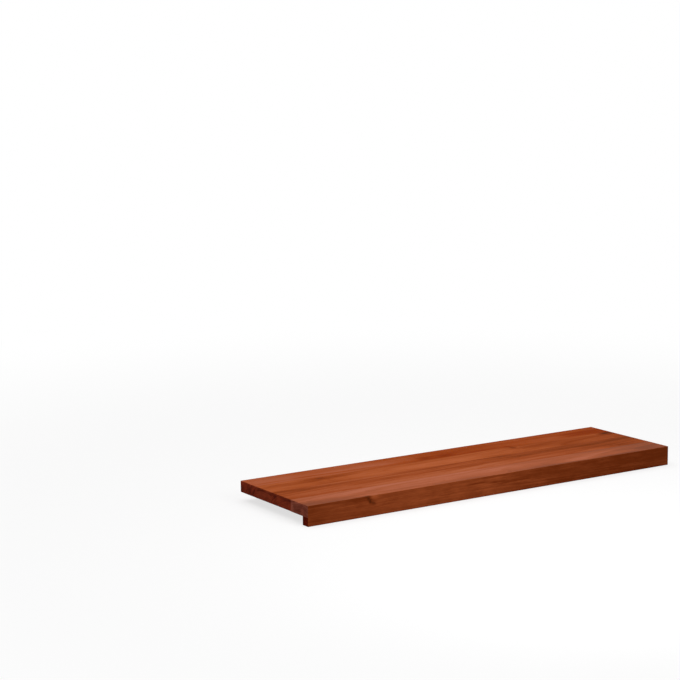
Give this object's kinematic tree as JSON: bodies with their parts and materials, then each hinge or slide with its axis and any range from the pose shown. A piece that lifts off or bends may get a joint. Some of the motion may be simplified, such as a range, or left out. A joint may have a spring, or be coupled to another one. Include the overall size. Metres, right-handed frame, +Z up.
{
  "type": "stair tread",
  "caption": "Wooden stair tread: a flat board glued up from long staves, with a square nosing strip under its front edge that laps over the step.",
  "frame": {"origin": "centre of the tread's footprint, level with the foot of the nosing strip", "axes": "+X along the tread, +Y from the nosing towards the back edge, +Z up out of the walking face"},
  "size_m": [1.0668, 0.2922, 0.0476],
  "materials": {
    "stained_wood": "red-brown stain under satin lacquer"
  },
  "bodies": {
    "root": {"stave_1": "stained_wood", "stave_2": "stained_wood", "stave_3": "stained_wood", "stave_4": "stained_wood", "nosing_strip": "stained_wood"}
  },
  "joints": []
}
